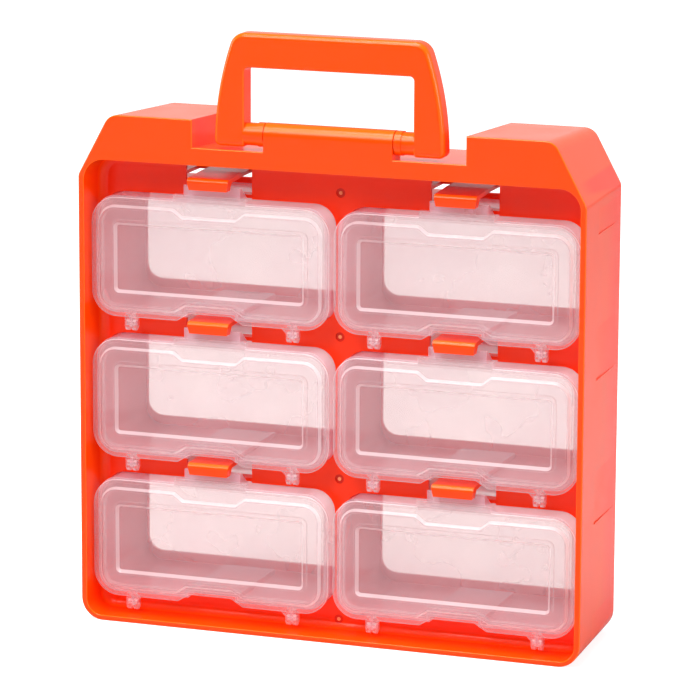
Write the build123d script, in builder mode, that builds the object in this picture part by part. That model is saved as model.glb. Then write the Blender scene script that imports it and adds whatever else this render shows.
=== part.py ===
from build123d import *
import os

# A carrying case that holds six small boxes with hinged lids, in millimetres.
# X runs to the right of the case, Y to its back and Z up.
# The origin lies under the middle of the case, on the surface that it stands on.
# Depths are measured from the front plane of the case towards its back.

# Outer form of the case
CASE_WIDTH = 300.0
CASE_DEPTH = 82.0
SIDE_DRAFT = 4.2
TOP_FALL = 4.4
FASCIA_HEIGHT = 26.0
CORNER_RUN = 19.0
CORNER_DROP = 35.2
CORNER_TOP_RADIUS = 9.0
CORNER_SIDE_RADIUS = 6.0
BASE_CORNER_RADIUS = 13.0

# Walls of the case
RIM_WALL = 3.4
BASE_WALL = 3.0
SHELL_WALL = 2.4
SKIRT_BACK_WALL = 2.0
WEB_WALL = 2.2
FLOOR_WALL = 2.0
FLANGE_WALL = 2.0
PARTITION = 5.2
PARTITION_GROOVE = 1.6
GAP_RIB = 2.4
CAVITY_DRAFT = 1.2
CAVITY_TOP_RADIUS = 12.0
CAVITY_BASE_RADIUS = 9.0
CAVITY_BACK_RADIUS = 5.0
RIM_EDGE_RADIUS = 0.8
CAVITY_EDGE_RADIUS = 0.5
WALL_SHARE = 0.7

# Places along the depth of the case
PANEL_DEPTH = 22.5
TONGUE_ROOT = 68.0
BRIDGE_FRONT = 26.0
BRIDGE_LENGTH = 8.0

# Rows and columns of boxes
ROW_COUNT = 3
ROW_GAP = 10.0
BASE_GAP = 10.4
CEILING_GAP = 7.1

# Side recesses between the rows
BAND_HEIGHT = 30.0
BAND_FRONT = 29.0
BAND_SINK = 0.9
BAND_RUN_OUT = 0.1

# Boxes
BOX_HEIGHT = 67.5
BOX_WALL = 1.4
BOX_RADIUS = 12.0
BOX_BACK_RADIUS = 1.5
BOX_DRAFT = 0.5
FLOOR_CLEARANCE = 0.3
ROOF_CLEARANCE = 0.5
SIDE_CLEARANCE = 0.6
BACK_CLEARANCE = 0.5
CHANNEL_HEIGHT = 3.2
CHANNEL_CLEARANCE = 2.2

# Catch block on the roof of each box, and the hook in front of it
BLOCK_HALF_WIDTH = 17.0
BLOCK_HEIGHT = 8.2
BLOCK_LAND = 2.0
BLOCK_LENGTH = 13.0
BLOCK_WALL = 1.2
HOOK_CATCH = 1.5
HOOK_GAP = 0.8
HOOK_FRONT = 4.0
HOOK_HALF_WIDTH = 12.3
HOOK_DROOP = 1.1
HOOK_BEND = 28.0
HOOK_TAPER = 1.2
HOOK_ROUND = 2.6
TONGUE_WALL = 2.2
NOTCH_HALF_WIDTH = 20.0
NOTCH_RISE = 3.2
NOTCH_BACK = 34.0
SHELF_NOTCH_BACK = 44.0
SLOT_CLEARANCE = 1.2

# Windows in the back flange
WINDOW_SIDE = 2.8
WINDOW_BASE = 7.0
WINDOW_TOP = 7.8
WINDOW_RADIUS = 9.0

# Lids
LID_FRONT = 5.4
LID_STEP = 2.0
LID_WALL = 1.4
RIM_THICKNESS = 2.2
LID_SEAT_GAP = 0.3
LID_HEIGHT = 69.0
LID_DROP = 2.05
LID_OVERHANG = 1.9
LID_RADIUS = 15.0
RIM_BAND = 4.4
STEP_SLOPE = 1.1
DIP_TOP_HALF = 12.7
DIP_BASE_HALF = 20.0
DIP_HEIGHT = 4.4
DIP_RADIUS = 3.0
THUMB_TOP_HALF = 20.0
THUMB_BASE_HALF = 14.5
THUMB_HEIGHT = 4.2
PANE_WIDTH = 115.0
PANE_HEIGHT = 40.5
PANE_SINK = 2.0
PANE_SLOPE = 1.5
PANE_RADIUS = 3.0
PLUG_LENGTH = 3.0
PLUG_WALL = 1.2
PLUG_CLEARANCE = 0.35
LID_EDGE_RADIUS = 0.7
FRAME_EDGE_RADIUS = 0.6
PANE_EDGE_RADIUS = 0.4

# Snap latch at the top of each lid
LATCH_HALF_WIDTH = 22.0
LATCH_HEIGHT = 3.6
BEAD_HEIGHT = 0.8
BEAD_LENGTH = 0.7
SNAP_CLEARANCE = 0.15
NUB_LENGTH = 0.6
NUB_CATCH = 0.35

# Lid hinges
EAR_SPACING = 98.0
EAR_CHEEK = 2.0
EAR_SLOT = 1.9
EAR_RADIUS = 3.5
EAR_TIP = 0.9
EAR_FLARE = 2.6
LUG_THICKNESS = 1.5
LUG_RADIUS = 2.6
LUG_SPREAD = 2.6
HINGE_DROP = 5.5
HINGE_DEPTH = 11.6
HINGE_PIN_RADIUS = 1.5
HINGE_CLEARANCE = 0.25

# Handle
RECESS_SINK = 15.9
RECESS_FALL = 5.6
RECESS_SIDE_GAP = 12.9
HANDLE_LIFT = 8.8
HANDLE_DEPTH = 7.0
HANDLE_THICKNESS = 12.6
HANDLE_FOOT_HALF = 67.8
HANDLE_REACH = 57.2
HANDLE_FOOT = 6.9
HANDLE_EYE_HALF = 49.9
HANDLE_EYE_TOP = 38.0
HANDLE_EYE_RADIUS = 2.5
HANDLE_EDGE_RADIUS = 3.0
HANDLE_EYE_EDGE = 1.2
HANDLE_FOOT_RADIUS = 3.6
HANDLE_TOP_RADIUS = 9.5
HANDLE_BOW = 2.7
HANDLE_LEAN = 11.6
BOSS_HALF_WIDTH = 38.0
BOSS_RADIUS = 7.0
BOSS_GAP = 0.5
BARREL_RADIUS = 6.4
COLLAR_RADIUS = 6.9
COLLAR_WIDTH = 4.0
HANDLE_PIN_RADIUS = 3.0
HANDLE_PIN_LENGTH = 6.0
HANDLE_PIN_CLEARANCE = 0.3

# Moulding marks on the web
GATE_RADIUS = 2.6
GATE_SINK = 0.8
GATE_NUB_RADIUS = 1.1

# Sizes that follow from the ones above
POCKET_HEIGHT = FLOOR_CLEARANCE + BOX_HEIGHT + ROOF_CLEARANCE
ROW_PITCH = POCKET_HEIGHT + FLOOR_WALL + ROW_GAP + FLOOR_WALL
LOWEST_FLOOR = BASE_WALL + BASE_GAP + FLOOR_WALL
SHELF_TOP = LOWEST_FLOOR + ROW_COUNT * ROW_PITCH
CEILING = SHELF_TOP + CEILING_GAP
SHOULDER_HEIGHT = CEILING + FASCIA_HEIGHT
CORNER_START = SHOULDER_HEIGHT - CORNER_DROP
BACK_HALF_WIDTH = CASE_WIDTH / 2 - SIDE_DRAFT
POCKET_OUTER = BACK_HALF_WIDTH - SKIRT_BACK_WALL
POCKET_WIDTH = POCKET_OUTER - PARTITION / 2
COLUMN_OFFSET = (POCKET_OUTER + PARTITION / 2) / 2
FLANGE_FRONT = CASE_DEPTH - FLANGE_WALL
RIM_FRONT = LID_FRONT + LID_STEP
RIM_BACK = RIM_FRONT + RIM_THICKNESS
BOX_FRONT = RIM_BACK + LID_SEAT_GAP
BOX_BACK = FLANGE_FRONT - BACK_CLEARANCE
BOX_WIDTH = POCKET_WIDTH - 2 * SIDE_CLEARANCE
BOX_TOP = FLOOR_CLEARANCE + BOX_HEIGHT
CHANNEL_HALF_WIDTH = HOOK_HALF_WIDTH + CHANNEL_CLEARANCE
LID_WIDTH = BOX_WIDTH + 2 * LID_OVERHANG
LID_BASE = FLOOR_CLEARANCE - LID_DROP
LID_TOP = LID_BASE + LID_HEIGHT
HANDLE_AXIS = SHOULDER_HEIGHT - RECESS_SINK + HANDLE_LIFT
RECESS_HALF_WIDTH = HANDLE_FOOT_HALF + RECESS_SIDE_GAP
BLOCK_FRONT = BOX_FRONT + BEAD_LENGTH + SNAP_CLEARANCE + NUB_LENGTH + SNAP_CLEARANCE
ROWS = [(row + 1, SHELF_TOP - (row + 1) * ROW_PITCH) for row in range(ROW_COUNT)]
COLUMNS = [("left", -COLUMN_OFFSET), ("right", COLUMN_OFFSET)]
PAST = 1.0


def at_depth(depth):
    """Y of a place that lies this far behind the front plane."""
    return depth - CASE_DEPTH / 2


def face_plane(depth, x=0.0, z=0.0):
    """Upright plane that faces the front, at a depth, with local X right and local Y up."""
    return Plane(origin=(x, at_depth(depth), z), x_dir=(1, 0, 0), z_dir=(0, -1, 0))


def side_plane(x, z=0.0):
    """Upright plane that faces right, whose local X is the depth and local Y the height."""
    return Plane(origin=(x, at_depth(0), z), x_dir=(0, 1, 0), z_dir=(1, 0, 0))


def half_width(depth):
    """Half of the case's width at a depth."""
    return CASE_WIDTH / 2 - SIDE_DRAFT * depth / CASE_DEPTH


def top_height(depth):
    """Height of the shoulders at a depth."""
    return SHOULDER_HEIGHT - TOP_FALL * depth / CASE_DEPTH


def recess_floor(depth):
    """Height of the handle recess's floor at a depth."""
    return SHOULDER_HEIGHT - RECESS_SINK - RECESS_FALL * depth / CASE_DEPTH


def corner_x(depth, height, inset=0.0):
    """X of the slanted corner at a depth and height, or of a line that far inside it."""
    slope = CORNER_RUN / CORNER_DROP
    slant = (1 + slope**2) ** 0.5
    return half_width(depth) - (height - CORNER_START) * slope - inset * slant


def case_outline(depth):
    """The case seen from the front, at a depth, with a foot below it that the underside trims off."""
    half = half_width(depth)
    top = top_height(depth)
    corner = corner_x(depth, top)
    foot = half - BASE_CORNER_RADIUS - PAST
    with BuildSketch(face_plane(depth)) as outline:
        Polygon(
            (-foot, -PAST),
            (foot, -PAST),
            (foot, 0),
            (half, 0),
            (half, CORNER_START),
            (corner, top),
            (-corner, top),
            (-half, CORNER_START),
            (-half, 0),
            (-foot, 0),
            align=None,
        )
        fillet(outline.vertices().group_by(Axis.Y)[-1], CORNER_TOP_RADIUS)
        sides = outline.vertices().filter_by_position(Axis.Y, CORNER_START - PAST, CORNER_START + PAST)
        fillet(sides, CORNER_SIDE_RADIUS)
        base_corners = outline.vertices().filter_by(lambda v: abs(v.X) > foot + PAST / 2 and v.Y < PAST / 2)
        fillet(base_corners, BASE_CORNER_RADIUS)
    return outline.sketch


def cavity_outline(depth):
    """The opening in the front of the case, at a depth."""
    draft = CAVITY_DRAFT * depth / PANEL_DEPTH
    half = CASE_WIDTH / 2 - RIM_WALL - draft
    with BuildSketch(face_plane(depth)) as outline:
        Polygon(
            (-half, BASE_WALL + draft / 2),
            (half, BASE_WALL + draft / 2),
            (half, CEILING - draft / 2),
            (-half, CEILING - draft / 2),
            align=None,
        )
        fillet(outline.vertices().group_by(Axis.Y)[-1], CAVITY_TOP_RADIUS - draft / 2)
        fillet(outline.vertices().group_by(Axis.Y)[0], CAVITY_BASE_RADIUS - draft / 2)
    return outline.sketch


def top_core_outline(depth, base):
    """The hollow behind the fascia, from a base height up to the shell of the top."""
    shoulder = top_height(depth) - SHELL_WALL
    middle = recess_floor(depth) - SHELL_WALL
    inner = RECESS_HALF_WIDTH + SHELL_WALL
    low = min(corner_x(depth, base, SHELL_WALL), half_width(depth) - RIM_WALL)
    high = corner_x(depth, shoulder, SHELL_WALL)
    right = [(low, base), (high, shoulder), (inner, shoulder), (inner, middle)]
    left = [(-x, z) for x, z in reversed(right)]
    with BuildSketch(face_plane(depth)) as outline:
        Polygon(*right, *left, align=None)
    return outline.sketch


def make_front_cavity():
    """The space in front of the web, where the lids sit."""
    with BuildPart() as front_cavity:
        add(cavity_outline(0))
        add(cavity_outline(PANEL_DEPTH))
        loft(ruled=True)
        fillet(front_cavity.faces().sort_by(Axis.Y)[-1].edges(), CAVITY_BACK_RADIUS)
    return front_cavity.part


def make_top_core():
    """The hollow of the top, open to the back."""
    shelf_front = PANEL_DEPTH + WEB_WALL
    with BuildPart() as upper:
        add(top_core_outline(BASE_WALL, CEILING + WEB_WALL))
        add(top_core_outline(shelf_front + PAST, CEILING + WEB_WALL))
        loft(ruled=True)
    with BuildPart() as lower:
        add(top_core_outline(shelf_front, SHELF_TOP))
        add(top_core_outline(CASE_DEPTH + PAST, SHELF_TOP))
        loft(ruled=True)
    return [upper.part, lower.part]


def make_case_body(front_cavity, top_core):
    """The moulding that carries everything: skirt, fascia, web, six pockets and their flanges."""
    half_base = BACK_HALF_WIDTH - SKIRT_BACK_WALL - BAND_SINK
    web_back = PANEL_DEPTH + WEB_WALL
    core_length = CASE_DEPTH + PAST - web_back
    with BuildPart() as case_body:
        add(case_outline(0))
        add(case_outline(CASE_DEPTH))
        loft(ruled=True)

        # Flat underside
        with BuildSketch(Plane.XY):
            Rectangle(CASE_WIDTH, CASE_DEPTH + 2 * PAST)
        extrude(amount=-2 * PAST, mode=Mode.SUBTRACT)

        # Recess for the handle, open to the front, the top and the back
        with BuildSketch(side_plane(0)):
            Polygon(
                (-PAST, recess_floor(-PAST)),
                (CASE_DEPTH + PAST, recess_floor(CASE_DEPTH + PAST)),
                (CASE_DEPTH + PAST, SHOULDER_HEIGHT + PAST),
                (-PAST, SHOULDER_HEIGHT + PAST),
                align=None,
            )
        extrude(amount=RECESS_HALF_WIDTH, both=True, mode=Mode.SUBTRACT)

        fillet(case_body.faces().sort_by(Axis.Y)[0].edges(), RIM_EDGE_RADIUS)
        add(front_cavity, mode=Mode.SUBTRACT)
        fillet(case_body.faces().sort_by(Axis.Y)[0].inner_wires().edges(), CAVITY_EDGE_RADIUS)
        add(top_core, mode=Mode.SUBTRACT)

        # Boss between the handle's barrels, with a socket in each end
        with BuildSketch(side_plane(0)):
            with Locations((HANDLE_DEPTH, HANDLE_AXIS)):
                Circle(BOSS_RADIUS)
            Polygon(
                (HANDLE_DEPTH - BOSS_RADIUS, recess_floor(0) - SHELL_WALL),
                (HANDLE_DEPTH + BOSS_RADIUS, recess_floor(0) - SHELL_WALL),
                (HANDLE_DEPTH + BOSS_RADIUS, HANDLE_AXIS),
                (HANDLE_DEPTH - BOSS_RADIUS, HANDLE_AXIS),
                align=None,
            )
        extrude(amount=BOSS_HALF_WIDTH, both=True)
        socket_depth = HANDLE_PIN_LENGTH + HANDLE_PIN_CLEARANCE
        for x in (BOSS_HALF_WIDTH - socket_depth, -BOSS_HALF_WIDTH):
            with BuildSketch(side_plane(x)):
                with Locations((HANDLE_DEPTH, HANDLE_AXIS)):
                    Circle(HANDLE_PIN_RADIUS + HANDLE_PIN_CLEARANCE)
            extrude(amount=socket_depth, mode=Mode.SUBTRACT)

        # Pockets and the windows behind them
        pocket_centres = [(x, floor + POCKET_HEIGHT / 2) for _, floor in ROWS for _, x in COLUMNS]
        pocket_front = PANEL_DEPTH - CAVITY_BACK_RADIUS
        with BuildSketch(face_plane(pocket_front)):
            with Locations(*pocket_centres):
                RectangleRounded(POCKET_WIDTH, POCKET_HEIGHT, BOX_RADIUS + SIDE_CLEARANCE)
        extrude(amount=-(FLANGE_FRONT - pocket_front), mode=Mode.SUBTRACT)
        window_height = POCKET_HEIGHT - WINDOW_BASE - WINDOW_TOP
        window_lift = (WINDOW_BASE - WINDOW_TOP) / 2
        with BuildSketch(face_plane(FLANGE_FRONT - PAST)):
            with Locations(*[(x, z + window_lift) for x, z in pocket_centres]):
                RectangleRounded(POCKET_WIDTH - 2 * WINDOW_SIDE, window_height, WINDOW_RADIUS)
        extrude(amount=-(FLANGE_WALL + 2 * PAST), mode=Mode.SUBTRACT)

        # Spaces between the pockets, open to the back
        gaps = [(BASE_WALL + CAVITY_DRAFT / 2, LOWEST_FLOOR - FLOOR_WALL)]
        gaps += [(f + POCKET_HEIGHT + FLOOR_WALL, f + ROW_PITCH - FLOOR_WALL) for _, f in ROWS]
        for low, high in gaps:
            for side in (-1, 1):
                with BuildSketch(face_plane(web_back)):
                    with Locations((side * (half_base + GAP_RIB / 2) / 2, (low + high) / 2)):
                        Rectangle(half_base - GAP_RIB / 2, high - low)
                extrude(amount=-core_length, mode=Mode.SUBTRACT)
        with BuildSketch(face_plane(web_back + WEB_WALL)):
            with Locations(*[(0, floor + POCKET_HEIGHT / 2) for _, floor in ROWS]):
                Rectangle(PARTITION_GROOVE, POCKET_HEIGHT)
        extrude(amount=-core_length, mode=Mode.SUBTRACT)

        # A notch above each pocket, the slot that frees its tongue, and the cut in its roof
        for _, floor in ROWS:
            for _, x in COLUMNS:
                roof = floor + POCKET_HEIGHT
                tongue_top = floor + ROW_PITCH
                notch_back = SHELF_NOTCH_BACK if tongue_top > SHELF_TOP - PAST else NOTCH_BACK
                with BuildSketch(side_plane(x - NOTCH_HALF_WIDTH)):
                    Polygon(
                        (PANEL_DEPTH - PAST, roof - PAST),
                        (BRIDGE_FRONT, roof - PAST),
                        (BRIDGE_FRONT, tongue_top - FLOOR_WALL - PAST),
                        (notch_back, tongue_top - FLOOR_WALL - PAST),
                        (notch_back, tongue_top + NOTCH_RISE),
                        (PANEL_DEPTH - PAST, tongue_top + NOTCH_RISE),
                        align=None,
                    )
                extrude(amount=2 * NOTCH_HALF_WIDTH, mode=Mode.SUBTRACT)
                with BuildSketch(face_plane(notch_back - PAST)):
                    with Locations((x, tongue_top - FLOOR_WALL / 2)):
                        Rectangle(2 * (HOOK_HALF_WIDTH + SLOT_CLEARANCE), FLOOR_WALL + 2 * PAST)
                extrude(amount=-(TONGUE_ROOT - notch_back + PAST), mode=Mode.SUBTRACT)
                with BuildSketch(side_plane(x - NOTCH_HALF_WIDTH)):
                    Polygon(
                        (BRIDGE_FRONT + BRIDGE_LENGTH, roof - PAST),
                        (FLANGE_FRONT, roof - PAST),
                        (FLANGE_FRONT, roof + FLOOR_WALL + PAST),
                        (BRIDGE_FRONT + BRIDGE_LENGTH, roof + FLOOR_WALL + PAST),
                        align=None,
                    )
                extrude(amount=2 * NOTCH_HALF_WIDTH, mode=Mode.SUBTRACT)

        # Shallow recesses in the sides, one beside each gap, that run out before the back edge
        for low, high in gaps:
            middle = (low + high) / 2
            top = min(middle + BAND_HEIGHT / 2, CORNER_START - CORNER_SIDE_RADIUS)
            base = max(middle - BAND_HEIGHT / 2, -PAST)
            for side in (-1, 1):
                front = half_width(BAND_FRONT) - BAND_SINK
                back = half_width(CASE_DEPTH + PAST) + BAND_RUN_OUT
                outer = CASE_WIDTH / 2 + PAST
                with BuildSketch(Plane.XY.offset(base)):
                    Polygon(
                        (side * front, at_depth(BAND_FRONT)),
                        (side * back, at_depth(CASE_DEPTH + PAST)),
                        (side * outer, at_depth(CASE_DEPTH + PAST)),
                        (side * outer, at_depth(BAND_FRONT)),
                        align=None,
                    )
                extrude(amount=top - base, mode=Mode.SUBTRACT)

        # Moulding gates on the web, in line with the gaps
        for _, floor in ROWS:
            gate = floor + ROW_PITCH - FLOOR_WALL - ROW_GAP / 2
            with BuildSketch(face_plane(PANEL_DEPTH + GATE_SINK)):
                with Locations((0, gate)):
                    Circle(GATE_RADIUS)
                    Circle(GATE_NUB_RADIUS, mode=Mode.SUBTRACT)
            extrude(amount=GATE_SINK + PAST, mode=Mode.SUBTRACT)
    return case_body.part


def case_regions():
    """Outlines, seen from the front, that divide the case moulding into simple pieces that touch."""
    base = BASE_WALL + CAVITY_DRAFT / 2
    side_base = LOWEST_FLOOR - FLOOR_WALL
    side_top = CEILING - CAVITY_TOP_RADIUS
    end = CASE_WIDTH / 2 + PAST
    corner = CASE_WIDTH / 2 - BASE_CORNER_RADIUS
    wall = POCKET_OUTER + (CASE_WIDTH / 2 - RIM_WALL - CAVITY_DRAFT - POCKET_OUTER) * WALL_SHARE
    regions = {
        "case_base": [(-corner, -PAST), (corner, -PAST), (corner, base), (-corner, base)],
        "case_top": [
            (-end, side_top),
            (end, side_top),
            (end, SHOULDER_HEIGHT + PAST),
            (-end, SHOULDER_HEIGHT + PAST),
        ],
        "case_rack": [
            (-corner, base),
            (corner, base),
            (corner, side_base),
            (wall, side_base),
            (wall, side_top),
            (-wall, side_top),
            (-wall, side_base),
            (-corner, side_base),
        ],
    }
    for tag, side in (("left", -1), ("right", 1)):
        regions[f"case_corner_{tag}"] = [
            (side * corner, -PAST),
            (side * end, -PAST),
            (side * end, side_base),
            (side * corner, side_base),
        ]
        regions[f"case_side_{tag}"] = [
            (side * wall, side_base),
            (side * end, side_base),
            (side * end, side_top),
            (side * wall, side_top),
        ]
    return regions


def cut_case(case_body, outline):
    """The piece of the case moulding inside an outline."""
    with BuildPart() as piece:
        add(case_body)
        with BuildSketch(face_plane(-PAST)):
            Polygon(*outline, align=None)
        extrude(amount=-(CASE_DEPTH + 2 * PAST), mode=Mode.INTERSECT)
    return piece.part


def make_hook():
    """Sprung tongue above one box, whose lip hangs in front of the box's catch block."""
    lip_base = BOX_TOP + BLOCK_HEIGHT - HOOK_CATCH
    lip_back = BLOCK_FRONT - HOOK_GAP
    lip_top = ROW_PITCH - HOOK_DROOP
    with BuildPart() as hook:
        with BuildSketch(side_plane(-HOOK_HALF_WIDTH)):
            Polygon(
                (TONGUE_ROOT, ROW_PITCH),
                (HOOK_BEND, ROW_PITCH),
                (HOOK_FRONT, lip_top),
                (HOOK_FRONT + HOOK_GAP, lip_base),
                (lip_back, lip_base),
                (lip_back, lip_top - TONGUE_WALL),
                (HOOK_BEND, ROW_PITCH - TONGUE_WALL),
                (TONGUE_ROOT, ROW_PITCH - TONGUE_WALL),
                align=None,
            )
        extrude(amount=2 * HOOK_HALF_WIDTH)
        for side in (-1, 1):
            with BuildSketch(face_plane(HOOK_FRONT - PAST)):
                Polygon(
                    (side * HOOK_HALF_WIDTH, lip_top - TONGUE_WALL),
                    (side * (HOOK_HALF_WIDTH - HOOK_TAPER), lip_base - PAST),
                    (side * (HOOK_HALF_WIDTH + PAST), lip_base - PAST),
                    (side * (HOOK_HALF_WIDTH + PAST), lip_top - TONGUE_WALL),
                    align=None,
                )
            extrude(amount=-(lip_back + PAST), mode=Mode.SUBTRACT)
        front_top = hook.edges().filter_by(Axis.X).group_by(Axis.Y)[0]
        fillet(front_top, HOOK_ROUND)
    return hook.part


def box_outline(depth, inset=0.0):
    """A box body's outer outline at a depth, or one that far inside it."""
    draft = BOX_DRAFT * (depth - BOX_FRONT) / (BOX_BACK - BOX_FRONT)
    width = BOX_WIDTH - 2 * (draft + inset)
    height = BOX_HEIGHT - 2 * (draft + inset)
    with BuildSketch(face_plane(depth, z=FLOOR_CLEARANCE + BOX_HEIGHT / 2)) as outline:
        RectangleRounded(width, height, BOX_RADIUS - inset)
    return outline.sketch


def make_box_room():
    """The inside of a box, with the raised strip of its floor left out."""
    with BuildPart() as room:
        add(box_outline(BOX_FRONT - PAST, BOX_WALL))
        add(box_outline(BOX_BACK - BOX_WALL, BOX_WALL))
        loft(ruled=True)
        strip_top = FLOOR_CLEARANCE + CHANNEL_HEIGHT + BOX_WALL
        with BuildSketch(face_plane(BOX_FRONT - 2 * PAST)):
            with Locations((0, strip_top / 2)):
                Rectangle(2 * (CHANNEL_HALF_WIDTH + BOX_WALL), strip_top)
        extrude(amount=-(TONGUE_ROOT + 2 * BOX_WALL - BOX_FRONT + 2 * PAST), mode=Mode.SUBTRACT)
    return room.part


def make_box_body(room):
    """Clear box, open to the front, with a catch block, a latch bead and two hinge lugs."""
    block_top = BOX_TOP + BLOCK_HEIGHT
    block_back = BLOCK_FRONT + BLOCK_LENGTH
    hollow_front = BLOCK_FRONT + BLOCK_WALL
    hollow_back = block_back - 2 * BLOCK_WALL
    with BuildPart() as box_body:
        add(box_outline(BOX_FRONT))
        add(box_outline(BOX_BACK))
        loft(ruled=True)
        fillet(box_body.faces().sort_by(Axis.Y)[-1].edges(), BOX_BACK_RADIUS)

        # Channel under the floor, where the tongue below can rise
        with BuildSketch(face_plane(BOX_FRONT - PAST)):
            with Locations((0, FLOOR_CLEARANCE + CHANNEL_HEIGHT / 2 - PAST / 2)):
                Rectangle(2 * CHANNEL_HALF_WIDTH, CHANNEL_HEIGHT + PAST)
        extrude(amount=-(TONGUE_ROOT + BOX_WALL - BOX_FRONT + PAST), mode=Mode.SUBTRACT)

        # Catch block with its ramp, hollow from inside the box
        with BuildSketch(side_plane(-BLOCK_HALF_WIDTH)):
            Polygon(
                (BLOCK_FRONT, BOX_TOP - BOX_WALL),
                (BLOCK_FRONT, block_top),
                (BLOCK_FRONT + BLOCK_LAND, block_top),
                (block_back, BOX_TOP - BOX_DRAFT),
                (block_back, BOX_TOP - BOX_WALL),
                align=None,
            )
        extrude(amount=2 * BLOCK_HALF_WIDTH)
        with BuildSketch(side_plane(-BLOCK_HALF_WIDTH + BLOCK_WALL)):
            Polygon(
                (hollow_front, BOX_TOP - 2 * BOX_WALL),
                (hollow_front, block_top - BLOCK_WALL),
                (BLOCK_FRONT + BLOCK_LAND, block_top - BLOCK_WALL),
                (hollow_back, BOX_TOP - BOX_WALL),
                (hollow_back, BOX_TOP - 2 * BOX_WALL),
                align=None,
            )
        extrude(amount=2 * (BLOCK_HALF_WIDTH - BLOCK_WALL), mode=Mode.SUBTRACT)

        # Bead that the lid's latch snaps over
        with BuildSketch(face_plane(BOX_FRONT, z=BOX_TOP)):
            with Locations((0, (BEAD_HEIGHT - BOX_WALL) / 2)):
                Rectangle(2 * (LATCH_HALF_WIDTH - BLOCK_WALL), BEAD_HEIGHT + BOX_WALL)
        extrude(amount=-BEAD_LENGTH)

        # Hinge lugs with a stub on each side
        for lug_x in (-EAR_SPACING / 2, EAR_SPACING / 2):
            with BuildSketch(side_plane(lug_x - LUG_THICKNESS / 2)):
                with Locations((HINGE_DEPTH, -HINGE_DROP)):
                    Circle(LUG_RADIUS)
                Polygon(
                    (HINGE_DEPTH - LUG_RADIUS, -HINGE_DROP),
                    (HINGE_DEPTH + LUG_RADIUS, -HINGE_DROP),
                    (HINGE_DEPTH + LUG_RADIUS + LUG_SPREAD, FLOOR_CLEARANCE + BOX_WALL / 2),
                    (BOX_FRONT, FLOOR_CLEARANCE + BOX_WALL / 2),
                    (BOX_FRONT, LID_BASE - LID_SEAT_GAP),
                    align=None,
                )
            extrude(amount=LUG_THICKNESS)
            pin_half = EAR_SLOT / 2 + EAR_CHEEK - HINGE_CLEARANCE
            with BuildSketch(side_plane(lug_x - pin_half)):
                with Locations((HINGE_DEPTH, -HINGE_DROP)):
                    Circle(HINGE_PIN_RADIUS)
            extrude(amount=2 * pin_half)
        add(room, mode=Mode.SUBTRACT)
    return box_body.part


def dip_points(edge, depth, edge_half, depth_half):
    """A trapezoid that cuts into an outline from an edge at one height down to another."""
    past = edge + (PAST if edge > depth else -PAST)
    return [
        (-edge_half, past),
        (edge_half, past),
        (edge_half, edge),
        (depth_half, depth),
        (-depth_half, depth),
        (-edge_half, edge),
    ]


def spread(inset, run, rise):
    """How much further from the middle a slanted edge meets an outline that is inset in parallel."""
    return inset * ((run**2 + rise**2) ** 0.5 - run) / rise


def lid_outline(depth, inset, thumb, radius):
    """A lid's outline at a depth, inset from its rim, with the dip below and the thumb dip above."""
    base = LID_BASE + inset
    top = LID_TOP - inset
    dip_grow = spread(inset, DIP_BASE_HALF - DIP_TOP_HALF, DIP_HEIGHT)
    thumb_grow = spread(inset, THUMB_TOP_HALF - THUMB_BASE_HALF, THUMB_HEIGHT)
    dip = dip_points(base, base + DIP_HEIGHT, DIP_BASE_HALF + dip_grow, DIP_TOP_HALF + dip_grow)
    thumb_dip = dip_points(
        top, top - THUMB_HEIGHT, THUMB_TOP_HALF + thumb_grow, THUMB_BASE_HALF + thumb_grow
    )
    reach = max(DIP_BASE_HALF + dip_grow, THUMB_TOP_HALF + thumb_grow) + PAST
    with BuildSketch(face_plane(depth)) as outline:
        with Locations((0, (base + top) / 2)):
            RectangleRounded(LID_WIDTH - 2 * inset, top - base, radius)
        Polygon(*dip, align=None, mode=Mode.SUBTRACT)
        if thumb:
            Polygon(*thumb_dip, align=None, mode=Mode.SUBTRACT)
        fillet(outline.vertices().filter_by(lambda v: abs(v.X) < reach), DIP_RADIUS)
    return outline.sketch


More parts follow.
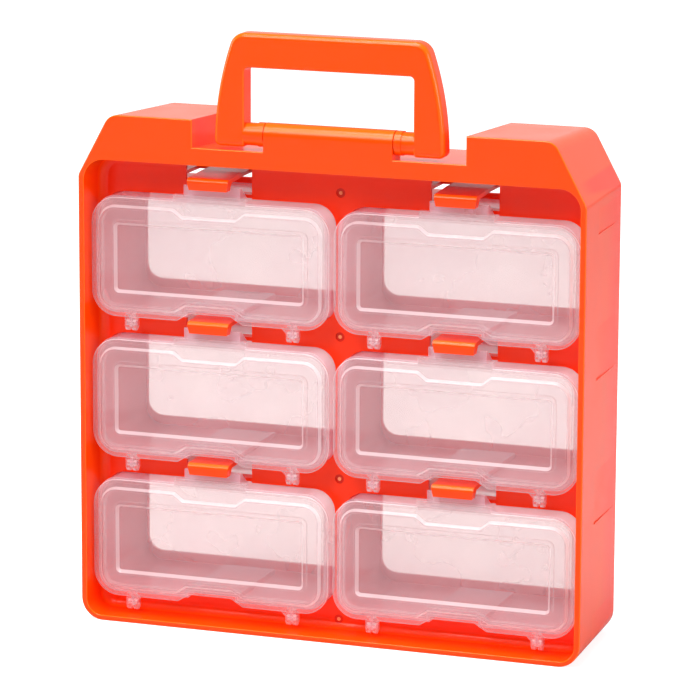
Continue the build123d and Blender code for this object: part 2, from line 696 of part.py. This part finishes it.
def make_lid():
    """Clear lid with a stepped frame, a sunken pane, a plug rim, a snap latch and two ears."""
    pane_z = (LID_BASE + LID_TOP) / 2
    with BuildPart() as lid:
        # Flat rim and the raised frame inside it
        extrude(lid_outline(RIM_FRONT, 0, False, LID_RADIUS), amount=-RIM_THICKNESS)
        fillet(lid.faces().sort_by(Axis.Y)[0].edges(), LID_EDGE_RADIUS)
        frame_radius = LID_RADIUS - RIM_BAND
        add(lid_outline(RIM_FRONT, RIM_BAND, True, frame_radius))
        add(lid_outline(LID_FRONT, RIM_BAND + STEP_SLOPE, True, frame_radius - STEP_SLOPE))
        loft(ruled=True)
        fillet(lid.faces().sort_by(Axis.Y)[0].edges(), FRAME_EDGE_RADIUS)

        # Hollow behind the frame, and the pane's own floor
        hollow = RIM_BAND + STEP_SLOPE + LID_WALL
        inside = lid_outline(RIM_BACK, hollow, True, frame_radius - STEP_SLOPE - LID_WALL)
        extrude(inside, amount=RIM_BACK - LID_FRONT - LID_WALL, mode=Mode.SUBTRACT)
        with BuildSketch(face_plane(LID_FRONT + LID_WALL / 2, z=pane_z)):
            RectangleRounded(PANE_WIDTH + 2 * LID_WALL, PANE_HEIGHT + 2 * LID_WALL, PANE_RADIUS + LID_WALL)
        extrude(amount=-(PANE_SINK + LID_WALL / 2))
        with BuildSketch(face_plane(LID_FRONT, z=pane_z)):
            RectangleRounded(PANE_WIDTH, PANE_HEIGHT, PANE_RADIUS)
        with BuildSketch(face_plane(LID_FRONT + PANE_SINK, z=pane_z)):
            RectangleRounded(
                PANE_WIDTH - 2 * PANE_SLOPE, PANE_HEIGHT - 2 * PANE_SLOPE, PANE_RADIUS - PANE_SLOPE
            )
        loft(ruled=True, mode=Mode.SUBTRACT)
        fillet(lid.faces().sort_by(Axis.Y)[0].inner_wires().edges(), PANE_EDGE_RADIUS)

        # Plug rim that fits inside the box's mouth
        for inset, mode in ((PLUG_CLEARANCE, Mode.ADD), (PLUG_CLEARANCE + PLUG_WALL, Mode.SUBTRACT)):
            wall = BOX_WALL + inset
            strip_top = FLOOR_CLEARANCE + CHANNEL_HEIGHT + wall
            with BuildSketch(face_plane(RIM_BACK)):
                with Locations((0, FLOOR_CLEARANCE + BOX_HEIGHT / 2)):
                    RectangleRounded(BOX_WIDTH - 2 * wall, BOX_HEIGHT - 2 * wall, BOX_RADIUS - wall)
                with Locations((0, strip_top / 2)):
                    Rectangle(2 * (CHANNEL_HALF_WIDTH + wall), strip_top, mode=Mode.SUBTRACT)
            extrude(amount=-PLUG_LENGTH, mode=mode)

        # Snap latch
        latch_top = LID_TOP + LATCH_HEIGHT
        with BuildSketch(side_plane(-LATCH_HALF_WIDTH)):
            nub_front = BOX_FRONT + BEAD_LENGTH + SNAP_CLEARANCE
            nub_base = BOX_TOP + BEAD_HEIGHT - NUB_CATCH
            Polygon(
                (RIM_FRONT, LID_TOP - LID_WALL),
                (RIM_FRONT, latch_top),
                (nub_front + NUB_LENGTH, latch_top),
                (nub_front + NUB_LENGTH, nub_base),
                (nub_front, nub_base),
                (nub_front, latch_top - LID_WALL),
                (RIM_FRONT + LID_WALL, latch_top - LID_WALL),
                (RIM_FRONT + LID_WALL, LID_TOP - LID_WALL),
                align=None,
            )
        extrude(amount=2 * LATCH_HALF_WIDTH)

        # Forked ears around the box's hinge lugs
        for side in (-1, 1):
            ear_x = side * EAR_SPACING / 2
            for cheek in (-EAR_SLOT / 2 - EAR_CHEEK, EAR_SLOT / 2):
                with BuildSketch(side_plane(ear_x + cheek)):
                    with Locations((HINGE_DEPTH, -HINGE_DROP), (HINGE_DEPTH, -HINGE_DROP - EAR_TIP)):
                        Circle(EAR_RADIUS)
                    Polygon(
                        (RIM_FRONT + LID_EDGE_RADIUS, -HINGE_DROP - EAR_TIP),
                        (HINGE_DEPTH + EAR_RADIUS, -HINGE_DROP - EAR_TIP),
                        (HINGE_DEPTH + EAR_RADIUS, -HINGE_DROP),
                        (BOX_FRONT, FLOOR_CLEARANCE - LID_SEAT_GAP),
                        (RIM_BACK, LID_BASE + LID_WALL),
                        (RIM_FRONT + LID_EDGE_RADIUS, LID_BASE + LID_WALL),
                        align=None,
                    )
                    with Locations((HINGE_DEPTH, -HINGE_DROP)):
                        Circle(HINGE_PIN_RADIUS + HINGE_CLEARANCE, mode=Mode.SUBTRACT)
                extrude(amount=EAR_CHEEK)
            inner_edge = -side * (EAR_SLOT / 2 + EAR_CHEEK)
            flare_edge = inner_edge - side * EAR_FLARE
            with BuildSketch(face_plane(RIM_FRONT + LID_EDGE_RADIUS, ear_x)):
                Polygon(
                    (inner_edge, LID_BASE - EAR_FLARE),
                    (inner_edge, LID_BASE + LID_WALL),
                    (flare_edge, LID_BASE + LID_WALL),
                    (flare_edge, LID_BASE),
                    align=None,
                )
            extrude(amount=-(RIM_THICKNESS - LID_EDGE_RADIUS))
    return lid.part


def make_handle():
    """Folding handle: two legs, a grip bar, and two barrels with stub pins."""
    foot = HANDLE_AXIS - HANDLE_FOOT
    tip = HANDLE_AXIS + HANDLE_REACH
    front = HANDLE_DEPTH - HANDLE_THICKNESS / 2
    with BuildPart() as handle:
        with BuildSketch(face_plane(front)) as outline:
            with BuildLine():
                base = Line((0, foot), (HANDLE_FOOT_HALF, foot))
                leg = ThreePointArc(
                    base @ 1,
                    (HANDLE_FOOT_HALF - HANDLE_BOW, (foot + tip) / 2),
                    (HANDLE_FOOT_HALF - HANDLE_LEAN, tip),
                )
                bar = Line(leg @ 1, (0, tip))
                Line(bar @ 1, base @ 0)
            make_face()
            mirror(about=Plane.YZ)
            fillet(outline.vertices().group_by(Axis.Y)[-1], HANDLE_TOP_RADIUS)
            foot_corners = outline.vertices().group_by(Axis.Y)[0]
            fillet(foot_corners.filter_by(lambda v: abs(v.X) > HANDLE_EYE_HALF), HANDLE_FOOT_RADIUS)
        extrude(amount=-HANDLE_THICKNESS)
        fillet(handle.edges().filter_by(Axis.Y, reverse=True), HANDLE_EDGE_RADIUS)

        # Eye for the fingers, rounded at its upper corners and along its edges
        with BuildSketch(face_plane(front - PAST)) as eye:
            Polygon(
                (-HANDLE_EYE_HALF, foot - PAST),
                (HANDLE_EYE_HALF, foot - PAST),
                (HANDLE_EYE_HALF, HANDLE_AXIS + HANDLE_EYE_TOP),
                (-HANDLE_EYE_HALF, HANDLE_AXIS + HANDLE_EYE_TOP),
                align=None,
            )
            fillet(eye.vertices().group_by(Axis.Y)[-1], HANDLE_EYE_RADIUS)
        extrude(amount=-(HANDLE_THICKNESS + 2 * PAST), mode=Mode.SUBTRACT)
        rims = handle.edges().filter_by(lambda e: abs(e.center().X) <= HANDLE_EYE_HALF)
        rims = rims.filter_by(Axis.Y, reverse=True).filter_by(lambda e: e.center().Z > HANDLE_AXIS)
        rims = rims.filter_by(lambda e: e.center().Z < HANDLE_AXIS + HANDLE_EYE_TOP + PAST)
        fillet(rims, HANDLE_EYE_EDGE)

        # Barrels with a collar beside the boss, and the stub pins in the boss's sockets
        inner = BOSS_HALF_WIDTH + BOSS_GAP
        runs = [
            (BARREL_RADIUS, inner, HANDLE_EYE_HALF + PAST),
            (COLLAR_RADIUS, inner, inner + COLLAR_WIDTH),
            (HANDLE_PIN_RADIUS, BOSS_HALF_WIDTH - HANDLE_PIN_LENGTH, inner + PAST),
        ]
        for radius, start, end in runs:
            for x in (start, -end):
                with BuildSketch(side_plane(x)):
                    with Locations((HANDLE_DEPTH, HANDLE_AXIS)):
                        Circle(radius)
                extrude(amount=end - start)
    return handle.part


os.makedirs("parts", exist_ok=True)

case_body = make_case_body(make_front_cavity(), make_top_core())
for name, outline in case_regions().items():
    case_piece = cut_case(case_body, outline)
    case_piece.label = name
    export_step(case_piece, f"parts/{name}.step")

carry_handle = make_handle()
carry_handle.label = "carry_handle"
export_step(carry_handle, "parts/carry_handle.step")

# The hook, box and lid of every pocket are the same three mouldings
forms = [("hook", make_hook()), ("box", make_box_body(make_box_room())), ("lid", make_lid())]
for row, floor in ROWS:
    for side, x in COLUMNS:
        for kind, form in forms:
            piece = form.moved(Location((x, 0, floor)))
            piece.label = f"{kind}_{side}_{row}"
            export_step(piece, f"parts/{piece.label}.step")
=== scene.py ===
"""Looks of a carrying case with six clear boxes: plastics, moulding marks, studio and camera."""
import math

import bmesh
import bpy
from mathutils import Matrix, Vector

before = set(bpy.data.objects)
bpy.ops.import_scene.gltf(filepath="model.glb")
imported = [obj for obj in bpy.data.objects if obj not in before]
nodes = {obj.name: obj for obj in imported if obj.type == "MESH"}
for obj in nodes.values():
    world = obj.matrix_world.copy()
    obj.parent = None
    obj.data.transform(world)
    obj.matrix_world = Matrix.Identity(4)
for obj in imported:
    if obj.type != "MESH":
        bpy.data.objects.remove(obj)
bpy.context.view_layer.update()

MM = 0.001
WHITE = (1, 1, 1, 1)

# Camera, fitted to the straight lines of the case in the photograph
LENS_MM = 217.33
SENSOR_MM = 36.0
CAMERA_PLACE = Vector((0.78802, -2.21165, 0.66049))
CAMERA_YAW = math.radians(19.626)
CAMERA_PITCH = math.radians(11.991)
CAMERA_ROLL = math.radians(0.281)

# Angle between faces above which an edge stays sharp
SHARP_ANGLE = math.radians(32)

# Orange plastics, on faces and as a painted highlight along rounded edges, and a painted shade on the
# case's walls on the inside
CASE_PLASTIC = {"colour": (0.98, 0.058, 0.0006, 1), "edge_highlight_colour": (1.0, 0.12, 0.003, 1)}
HANDLE_PLASTIC = {"colour": (0.98, 0.062, 0.0006, 1), "edge_highlight_colour": (1.0, 0.11, 0.003, 1)}
# A deeper red, painted as the shade inside the case
INSIDE_SHADE_COLOUR = (1.0, 0.026, 0.0002, 1)

# Their gloss: lowest and highest roughness, and index of refraction
SATIN_ROUGHNESS = (0.17, 0.24)
SATIN_IOR = 1.33

# Clear plastics: milky colour, whose pink is painted orange light bounced from the case, and haze, on
# faces and along edges, where the whiter colour is a painted highlight
BOX_PLASTIC = {
    "milk_and_bounce_light": (0.99, 0.81, 0.94, 1),
    "edge_highlight_milk": (0.98, 0.92, 0.96, 1),
    "haze": 0.27,
    "edge_haze_and_highlight": 0.52,
}
LID_PLASTIC = {
    "milk_and_bounce_light": (0.99, 0.87, 0.95, 1),
    "edge_highlight_milk": (0.99, 0.95, 0.98, 1),
    "haze": 0.13,
    "edge_haze_and_highlight": 0.46,
}

# What one face of the clear plastic lets through, and the share of haze that is lit from behind
FILM_TINT = (0.958, 0.93, 0.916, 1.0)
BACKLIT_SHARE = 0.45

# The haze's own surface, and how much more haze there is where a face is seen edge on
HAZE_ROUGHNESS = (0.3, 0.4)
HAZE_SPECULAR = 0.2
HAZE_POWER = 3.0
HAZE_RISE = 0.18

# The gloss over it: roughness, level, and its rise where a face is seen edge on
GLOSS_ROUGHNESS = 0.12
GLOSS_LEVEL = 0.03
GLOSS_POWER = 5.0
GLOSS_RISE = 0.55

# Noises over the part, in features per metre
STREAKS = 14.0
CLOUDS = 60.0
GRAINS = 2600.0
WAVES = 45.0
FLOW = 22.0
CLEAR_WAVES = 70.0

# Middle stretches of a noise that are spread over the whole range of what it drives
NOISE_MIDDLE = (0.3, 0.7)
STREAK_MIDDLE = (0.35, 0.65)

# Share of a colour that its darker places keep, and share by which the haze varies
DARK_SHARE = 0.95
HAZE_SPREAD = 0.15

# Relief of the surfaces: its depth, its strengths, and the grain's share of the height
RELIEF_DEPTH = 0.2 * MM
SATIN_RELIEF = 0.25
CLEAR_RELIEF = 0.15
GRAIN_SHARE = 0.02

# Edges: radius of the rounded normal, and how far it turns where the mask starts and is full
EDGE_RADIUS = 0.6 * MM
EDGE_TURN = (0.01, 0.3)

# A face slants where its normal lies partly along Y: the mask rises and falls between these
SLANT_RISE = (0.08, 0.3)
SLANT_FALL = (0.86, 0.98)

# Where the painted shade of the case's inside starts and where it is full: from the side walls, the
# front and back edges, the ceiling and the floor
SIDE_FADE = (147.5 * MM, 146.0 * MM)
FRONT_FADE = (-38.0 * MM, -14.0 * MM)
BACK_FADE = (40.5 * MM, 38.5 * MM)
CEILING_FADE = (272.0 * MM, 270.0 * MM)
FLOOR_FADE = (1.0 * MM, 3.0 * MM)

# Moulding gates on the web: the lowest one's height, their pitch, the radii between which the nub and
# the ring fade out, the depths between which they end behind the web, and their colours, a painted
# highlight on the nub and a painted shadow in the ring
GATE_HEIGHT = 90.7 * MM
GATE_PITCH = 82.3 * MM
NUB_RIM = (0.9 * MM, 1.2 * MM)
RING_RIM = (2.5 * MM, 2.8 * MM)
GATE_DEPTHS = (-15.0 * MM, -14.0 * MM)
NUB_HIGHLIGHT_COLOUR = (1.0, 0.3, 0.12, 1)
RING_SHADOW_COLOUR = (0.72, 0.012, 0.0, 1)

# World: stretches of a ray's direction from front to back and in height, with the strength at
# either end, for reflections and for soft light
MIRRORED_DEPTH = (-0.1, 0.9)
MIRRORED_STRENGTH = (0.03, 0.76)
MIRRORED_HEIGHT = (0.22, 0.42)
MIRRORED_FALL = (1.0, 0.45)
SOFT_DEPTH = (-0.1, 0.5)
SOFT_STRENGTH = (0.28, 0.95)

# Floor: how far it reaches from the middle in metres, its grey, and its glow to the eye and in gloss
FLOOR_REACH = 6.0
FLOOR_COLOUR = (0.42, 0.42, 0.42, 1)
FLOOR_ROUGHNESS = 0.9
FLOOR_GLOW = 0.8
FLOOR_GLOSSY_GLOW = 0.1

# Square soft lamps with places in metres and powers in watts, their side, and what they face
LAMPS = {
    "top_lamp": ((-0.2, -0.5, 2.6), 68),
    "key_lamp": ((-0.5, -1.7, 2.0), 44),
    "left_lamp": ((-2.5, -0.6, 0.9), 26),
    "right_lamp": ((2.5, -0.6, 0.8), 32),
}
LAMP_SIDE = 1.2
LAMP_TARGET = Vector((0, 0, 0.17))

# Layers that a ray may pass, and how often light may bounce between the orange walls
CLEAR_LAYERS = 32
WALL_BOUNCES = 8


def add_camera():
    """The photograph's view."""
    back = Vector(
        (
            math.sin(CAMERA_YAW) * math.cos(CAMERA_PITCH),
            -math.cos(CAMERA_YAW) * math.cos(CAMERA_PITCH),
            math.sin(CAMERA_PITCH),
        )
    )
    level = Vector((math.cos(CAMERA_YAW), math.sin(CAMERA_YAW), 0))
    upright = back.cross(level)
    right = level * math.cos(CAMERA_ROLL) + upright * math.sin(CAMERA_ROLL)
    up = upright * math.cos(CAMERA_ROLL) - level * math.sin(CAMERA_ROLL)
    data = bpy.data.cameras.new("camera")
    data.lens = LENS_MM
    data.sensor_width = SENSOR_MM
    camera = bpy.data.objects.new("camera", data)
    bpy.context.scene.collection.objects.link(camera)
    turn = Matrix((right, up, back)).transposed().to_4x4()
    camera.matrix_world = Matrix.Translation(CAMERA_PLACE) @ turn
    bpy.context.scene.camera = camera


def fill_inputs(tree, node, inputs):
    """Links a node's inputs where a socket is given, and sets them where a value is."""
    for key, value in inputs.items():
        if isinstance(value, bpy.types.NodeSocket):
            tree.links.new(value, node.inputs[key])
        else:
            node.inputs[key].default_value = value


def add_node(tree, kind, settings=None, inputs=None):
    """A shader node with its settings and its inputs."""
    made = tree.nodes.new(kind)
    for key, value in (settings or {}).items():
        setattr(made, key, value)
    fill_inputs(tree, made, inputs or {})
    return made


def add_math(tree, operation, *values):
    """A Math node's output, from numbers or sockets."""
    inputs = dict(enumerate(values))
    return add_node(tree, "ShaderNodeMath", {"operation": operation}, inputs).outputs[0]


def add_noise(tree, place, scale, detail):
    """A noise value between 0 and 1 over the part, with the scale in features per metre."""
    inputs = {"Vector": place, "Scale": scale, "Detail": detail}
    return add_node(tree, "ShaderNodeTexNoise", None, inputs).outputs["Fac"]


def add_range(tree, value, low, high, to_low, to_high):
    """A value mapped from one range to another and held inside it."""
    inputs = {
        "Value": value,
        "From Min": low,
        "From Max": high,
        "To Min": to_low,
        "To Max": to_high,
    }
    return add_node(tree, "ShaderNodeMapRange", None, inputs).outputs["Result"]


def split_vector(tree, vector):
    """The three values of a vector."""
    return add_node(tree, "ShaderNodeSeparateXYZ", None, {"Vector": vector}).outputs


def mix_values(tree, factor, first, second):
    """A mix of two numbers."""
    inputs = {"Factor": factor, "A": first, "B": second}
    return add_node(tree, "ShaderNodeMix", None, inputs).outputs[0]


def mix_colours(tree, factor, first, second):
    """A mix of two colours, which are inputs 6 and 7 and output 2 of a Mix node."""
    inputs = {0: factor, 6: first, 7: second}
    return add_node(tree, "ShaderNodeMix", {"data_type": "RGBA"}, inputs).outputs[2]


def mix_shaders(tree, factor, first, second):
    """A mix of two shaders."""
    inputs = {0: factor, 1: first, 2: second}
    return add_node(tree, "ShaderNodeMixShader", None, inputs).outputs[0]


def add_relief(tree, strength, height):
    """The normal of a surface with a fine relief."""
    inputs = {"Strength": strength, "Distance": RELIEF_DEPTH, "Height": height}
    return add_node(tree, "ShaderNodeBump", None, inputs).outputs["Normal"]


def edge_mask(tree):
    """0 on flat faces and 1 along edges, from how far a rounded normal turns away from the face's."""
    rounded = add_node(tree, "ShaderNodeBevel", {"samples": 4}, {"Radius": EDGE_RADIUS}).outputs[0]
    flat = add_node(tree, "ShaderNodeNewGeometry").outputs["Normal"]
    settings = {"operation": "DOT_PRODUCT"}
    dot = add_node(tree, "ShaderNodeVectorMath", settings, {0: rounded, 1: flat}).outputs["Value"]
    return add_range(tree, add_math(tree, "SUBTRACT", 1.0, dot), *EDGE_TURN, 0.0, 1.0)


def bevel_mask(tree):
    """1 on faces that slant between the front and a side, such as rounded rims and sunken bevels."""
    _, along, _ = split_vector(tree, add_node(tree, "ShaderNodeTexCoord").outputs["Normal"])
    front = add_math(tree, "ABSOLUTE", along)
    rising = add_range(tree, front, *SLANT_RISE, 0.0, 1.0)
    falling = add_range(tree, front, *SLANT_FALL, 1.0, 0.0)
    return add_math(tree, "MULTIPLY", rising, falling)


def inside_shade_mask(tree, place):
    """1 inside the case, where a deeper red is painted as the shade of light that only comes back
    from orange walls.
    """
    x, y, z = split_vector(tree, place)
    fades = (
        (add_math(tree, "ABSOLUTE", x), SIDE_FADE),
        (y, FRONT_FADE),
        (y, BACK_FADE),
        (z, CEILING_FADE),
        (z, FLOOR_FADE),
    )
    mask = 1.0
    for value, fade in fades:
        mask = add_math(tree, "MULTIPLY", mask, add_range(tree, value, *fade, 0.0, 1.0))
    return mask


def gate_masks(tree, place):
    """Masks of the painted highlight on the pale nub and of the painted shadow in the dark ring at
    each moulding gate, one over the other.
    """
    x, y, z = split_vector(tree, place)
    half = GATE_PITCH / 2
    along = add_math(tree, "WRAP", add_math(tree, "SUBTRACT", z, GATE_HEIGHT), half, -half)
    squares = [add_math(tree, "MULTIPLY", value, value) for value in (x, along)]
    radius = add_math(tree, "SQRT", add_math(tree, "ADD", *squares))
    web = add_range(tree, y, *GATE_DEPTHS, 1.0, 0.0)
    masks = []
    for rim in (NUB_RIM, RING_RIM):
        masks.append(add_math(tree, "MULTIPLY", add_range(tree, radius, *rim, 1.0, 0.0), web))
    return masks


def grazing(tree, power):
    """0 where a face looks straight at the eye and 1 where it is seen edge on."""
    facing = add_node(tree, "ShaderNodeLayerWeight", None, {"Blend": 0.5}).outputs["Facing"]
    return add_math(tree, "POWER", facing, power)


def darkened(colour):
    """The colour of a plastic's darker places."""
    return tuple(DARK_SHARE * value for value in colour[:3]) + (1.0,)


def new_material(name):
    """An empty material with its tree and its shader."""
    material = bpy.data.materials.new(name)
    material.use_nodes = True
    return material, material.node_tree, material.node_tree.nodes["Principled BSDF"]


def part_place(tree):
    """The place on the part, in metres."""
    return add_node(tree, "ShaderNodeTexCoord").outputs["Object"]


def satin_plastic(name, colour, edge_highlight_colour, is_case=False):
    """Moulded polypropylene: a fine grain, faint flow streaks, and lighter edges that are a painted
    highlight.
    """
    material, tree, shader = new_material(name)
    place = part_place(tree)
    streaks = add_range(tree, add_noise(tree, place, STREAKS, 3.0), *STREAK_MIDDLE, 0.0, 1.0)
    body = mix_colours(tree, streaks, darkened(colour), colour)
    # Painted highlight: a lighter, yellower orange on faces that slant between the front and a side,
    # such as rounded rims.
    body = mix_colours(tree, bevel_mask(tree), body, edge_highlight_colour)
    if is_case:
        # Painted shade: a deeper red over the case's inside, for the light that only comes back from
        # orange walls.
        body = mix_colours(tree, inside_shade_mask(tree, place), body, INSIDE_SHADE_COLOUR)
        # Painted light and shade at each moulding gate: a shadow in the dark ring and a highlight on
        # the pale nub.
        nub, ring = gate_masks(tree, place)
        body = mix_colours(tree, ring, body, RING_SHADOW_COLOUR)
        body = mix_colours(tree, nub, body, NUB_HIGHLIGHT_COLOUR)
    clouds = add_noise(tree, place, CLOUDS, 4.0)
    grain = add_math(tree, "MULTIPLY", add_noise(tree, place, GRAINS, 2.0), GRAIN_SHARE)
    height = add_math(tree, "ADD", grain, add_noise(tree, place, WAVES, 1.0))
    inputs = {
        "Base Color": body,
        "Roughness": add_range(tree, clouds, *NOISE_MIDDLE, *SATIN_ROUGHNESS),
        "Normal": add_relief(tree, SATIN_RELIEF, height),
        "IOR": SATIN_IOR,
    }
    fill_inputs(tree, shader, inputs)
    return material


def clear_plastic(name, milk_and_bounce_light, edge_highlight_milk, haze, edge_haze_and_highlight):
    """Milky clear polypropylene, pink from painted orange light bounced from the case: a thin haze on
    the faces, much more along edges, partly a painted highlight, and a gloss.
    """
    material, tree, shader = new_material(name)
    place = part_place(tree)
    flow = add_noise(tree, place, FLOW, 3.0)
    # Along edges the haze is denser and whiter: partly thicker plastic, partly painted highlight
    # lines of light caught in the edges.
    edges = add_math(tree, "MAXIMUM", edge_mask(tree), bevel_mask(tree))
    thin, thick = haze * (1 - HAZE_SPREAD), haze * (1 + HAZE_SPREAD)
    faces = add_range(tree, flow, *NOISE_MIDDLE, thin, thick)
    slanted = add_math(tree, "MULTIPLY_ADD", grazing(tree, HAZE_POWER), HAZE_RISE, faces)
    cover = mix_values(tree, edges, slanted, edge_haze_and_highlight)
    normal = add_relief(tree, CLEAR_RELIEF, add_noise(tree, place, CLEAR_WAVES, 1.0))
    # Painted light: the milky colour's pink stands in for orange light bounced from the case, and the
    # whiter colour along edges is a painted highlight.
    body = mix_colours(tree, edges, mix_colours(tree, flow, darkened(milk_and_bounce_light), milk_and_bounce_light), edge_highlight_milk)
    inputs = {
        "Base Color": body,
        "Roughness": add_range(tree, flow, *NOISE_MIDDLE, *HAZE_ROUGHNESS),
        "Normal": normal,
        "Specular IOR Level": HAZE_SPECULAR,
    }
    fill_inputs(tree, shader, inputs)
    through = add_node(tree, "ShaderNodeBsdfTranslucent", None, {"Color": body, "Normal": normal})
    film = add_node(tree, "ShaderNodeBsdfTransparent", None, {"Color": FILM_TINT})
    inputs = {"Color": WHITE, "Roughness": GLOSS_ROUGHNESS, "Normal": normal}
    gloss = add_node(tree, "ShaderNodeBsdfAnisotropic", None, inputs)
    scatter = mix_shaders(tree, BACKLIT_SHARE, shader.outputs[0], through.outputs[0])
    solid = mix_shaders(tree, cover, film.outputs[0], scatter)
    shine = add_math(tree, "MULTIPLY_ADD", grazing(tree, GLOSS_POWER), GLOSS_RISE, GLOSS_LEVEL)
    surface = mix_shaders(tree, shine, solid, gloss.outputs[0])
    fill_inputs(tree, tree.nodes["Material Output"], {"Surface": surface})
    return material


def smooth(piece):
    """Rounds the shading of a CAD node, with its sharp edges kept."""
    mesh = piece.data
    mesh.polygons.foreach_set("use_smooth", [True] * len(mesh.polygons))
    mesh.set_sharp_from_angle(angle=SHARP_ANGLE)


def dress_nodes():
    """Gives every CAD node the plastic that the first word of its name tells."""
    case = satin_plastic("case_orange", **CASE_PLASTIC, is_case=True)
    plastics = {
        "case": case,
        "hook": case,
        "carry": satin_plastic("handle_orange", **HANDLE_PLASTIC),
        "box": clear_plastic("clear_box", **BOX_PLASTIC),
        "lid": clear_plastic("clear_lid", **LID_PLASTIC),
    }
    for name, piece in nodes.items():
        smooth(piece)
        piece.data.materials.clear()
        piece.data.materials.append(plastics[name.split("_")[0]])


def light_path(tree):
    """1 for rays from the eye or through glass, and 1 for rays that come off a gloss."""
    path = add_node(tree, "ShaderNodeLightPath").outputs
    seen = add_math(tree, "MAXIMUM", path["Is Camera Ray"], path["Is Transmission Ray"])
    return seen, path["Is Glossy Ray"]


def add_world():
    """A white backdrop to look at, a darker room in front of it, and a soft level for other light."""
    world = bpy.data.worlds.new("studio")
    world.use_nodes = True
    bpy.context.scene.world = world
    tree = world.node_tree
    tree.nodes.clear()
    seen, glossy = light_path(tree)
    ahead = add_node(tree, "ShaderNodeTexCoord").outputs["Generated"]
    _, depth, height = split_vector(tree, ahead)
    backdrop = add_range(tree, depth, *MIRRORED_DEPTH, *MIRRORED_STRENGTH)
    fall = add_range(tree, height, *MIRRORED_HEIGHT, *MIRRORED_FALL)
    room = add_math(tree, "MULTIPLY", backdrop, fall)
    soft = add_range(tree, depth, *SOFT_DEPTH, *SOFT_STRENGTH)
    strength = mix_values(tree, seen, mix_values(tree, glossy, soft, room), 1.0)
    shown = add_node(tree, "ShaderNodeBackground", None, {"Color": WHITE, "Strength": strength})
    add_node(tree, "ShaderNodeOutputWorld", None, {"Surface": shown.outputs[0]})


def add_floor():
    """A pale floor that is white where it is lit and keeps the shadow."""
    mesh = bpy.data.meshes.new("floor")
    built = bmesh.new()
    bmesh.ops.create_grid(built, x_segments=1, y_segments=1, size=FLOOR_REACH)
    built.to_mesh(mesh)
    built.free()
    floor = bpy.data.objects.new("floor", mesh)
    bpy.context.scene.collection.objects.link(floor)
    material, tree, shader = new_material("floor_white")
    seen, glossy = light_path(tree)
    in_gloss = add_math(tree, "MULTIPLY", glossy, FLOOR_GLOSSY_GLOW)
    inputs = {
        "Base Color": FLOOR_COLOUR,
        "Roughness": FLOOR_ROUGHNESS,
        "Specular IOR Level": 0.0,
        "Emission Color": WHITE,
        "Emission Strength": add_math(tree, "MULTIPLY_ADD", seen, FLOOR_GLOW, in_gloss),
    }
    fill_inputs(tree, shader, inputs)
    mesh.materials.append(material)


def add_lights():
    """A lamp high above, a key lamp above the front, and one lamp at each side."""
    for name, (place, power) in LAMPS.items():
        data = bpy.data.lights.new(name, "AREA")
        data.shape = "SQUARE"
        data.size = LAMP_SIDE
        data.energy = power
        lamp = bpy.data.objects.new(name, data)
        bpy.context.scene.collection.objects.link(lamp)
        lamp.location = place
        lamp.rotation_euler = (LAMP_TARGET - Vector(place)).to_track_quat("-Z", "Y").to_euler()


add_camera()
dress_nodes()
add_world()
add_floor()
add_lights()
bpy.context.scene.view_settings.view_transform = "Standard"
bpy.context.scene.cycles.transparent_max_bounces = CLEAR_LAYERS
bpy.context.scene.cycles.diffuse_bounces = WALL_BOUNCES
